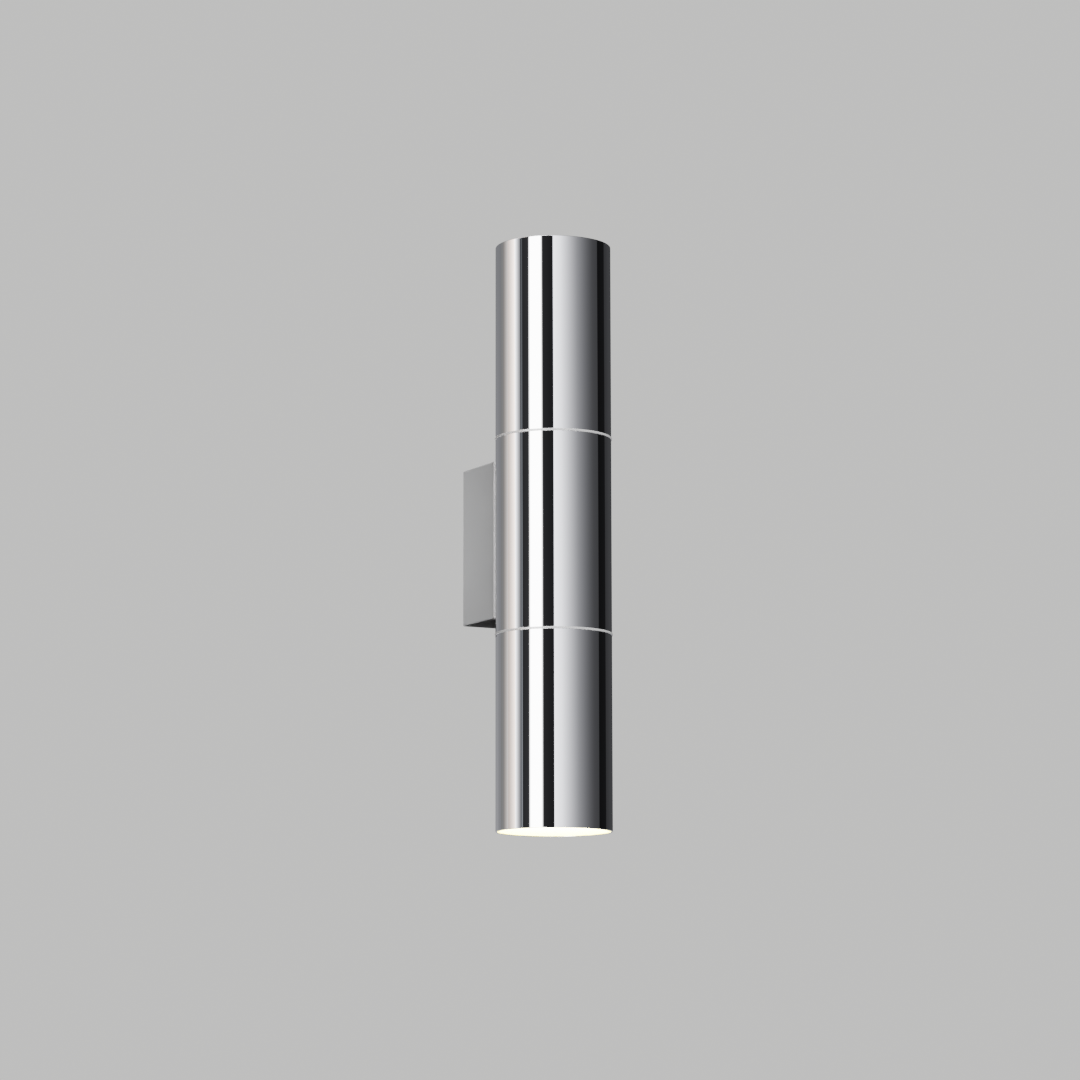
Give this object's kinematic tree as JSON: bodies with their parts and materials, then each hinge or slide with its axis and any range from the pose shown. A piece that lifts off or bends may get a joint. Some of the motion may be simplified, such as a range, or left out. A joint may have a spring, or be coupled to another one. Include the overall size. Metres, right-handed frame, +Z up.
{
  "type": "tube wall light",
  "caption": "Up-and-down wall light: a sectioned chrome tube with thin white joint rings, clamped in the hollowed front of a small satin wall box.",
  "frame": {"origin": "middle of the wall-screw pattern on the wall plane, level with the middle of the tube", "axes": "+Z up along the tube, +Y into the wall, -Y out into the room, +X to the right seen from the room"},
  "size_m": [0.0606, 0.0873, 0.305],
  "materials": {
    "chrome": "mirror-polished chrome plate",
    "ring_white": "satin white moulding",
    "cast_metal": "as turned",
    "screw_steel": "nickel plated",
    "plated_sheet": "zinc plated sheet",
    "black_rubber": "matt",
    "box_paint": "satin light grey",
    "terminal_nylon": "natural nylon",
    "brass": "machined",
    "tinned_brass": "tinned",
    "earth_insulation": "green and yellow sheath",
    "live_insulation": "brown sheath",
    "neutral_insulation": "blue sheath",
    "holder_ceramic": "unglazed white steatite",
    "glare_white": "satin white",
    "lamp_white": "white powder coat",
    "board_white": "white solder mask",
    "board_green": "circuit board",
    "lens_clear": "clear moulded optic",
    "led_light": "phosphor, lit"
  },
  "bodies": {
    "fixture": {"cable_grommet": "black_rubber", "coupler_lower": "cast_metal", "coupler_screws": "screw_steel", "coupler_upper": "cast_metal", "cover_screws": "screw_steel", "earth_lead": "earth_insulation", "earth_ring_tag": "tinned_brass", "earth_screw": "brass", "glare_ring_lower": "glare_white", "glare_ring_seal_lower": "black_rubber", "glare_ring_seal_upper": "black_rubber", "glare_ring_upper": "glare_white", "joint_ring_lower": "ring_white", "joint_ring_upper": "ring_white", "lampholder_base_lower": "holder_ceramic", "lampholder_base_upper": "holder_ceramic", "lampholder_body_lower": "holder_ceramic", "lampholder_body_upper": "holder_ceramic", "lampholder_contacts_lower": "tinned_brass", "lampholder_contacts_upper": "tinned_brass", "lampholder_screws_lower": "screw_steel", "lampholder_screws_upper": "screw_steel", "lead_bush": "black_rubber", "lead_live_lower": "live_insulation", "lead_live_upper": "live_insulation", "lead_neutral_lower": "neutral_insulation", "lead_neutral_upper": "neutral_insulation", "terminal_fixing_screw": "screw_steel", "terminal_housing": "terminal_nylon", "terminal_screws": "screw_steel", "terminal_tubes": "brass", "tube_clamp_screws": "screw_steel", "tube_clamp_washers": "screw_steel", "tube_lower": "chrome", "tube_middle": "chrome", "tube_upper": "chrome", "wall_box_cover": "box_paint", "wall_bracket": "plated_sheet"},
    "lamp_upper": {"lamp_cup_upper": "lamp_white", "lamp_lens_upper": "lens_clear", "lamp_led_board_upper": "board_white", "lamp_leds_upper": "led_light", "lamp_driver_upper": "board_green", "lamp_cap_upper": "lamp_white", "lamp_pins_upper": "tinned_brass"},
    "lamp_lower": {"lamp_cup_lower": "lamp_white", "lamp_lens_lower": "lens_clear", "lamp_led_board_lower": "board_white", "lamp_leds_lower": "led_light", "lamp_driver_lower": "board_green", "lamp_cap_lower": "lamp_white", "lamp_pins_lower": "tinned_brass"}
  },
  "joints": [
    {"name": "lamp_upper_twist", "type": "hinge", "parent": "fixture", "child": "lamp_upper", "pos_m": [0, -0.057, 0.137], "axis": [0, 0, 1], "range_deg": [0, 40]},
    {"name": "lamp_lower_twist", "type": "hinge", "parent": "fixture", "child": "lamp_lower", "pos_m": [0, -0.057, -0.137], "axis": [0, 0, -1], "range_deg": [0, 40]}
  ]
}
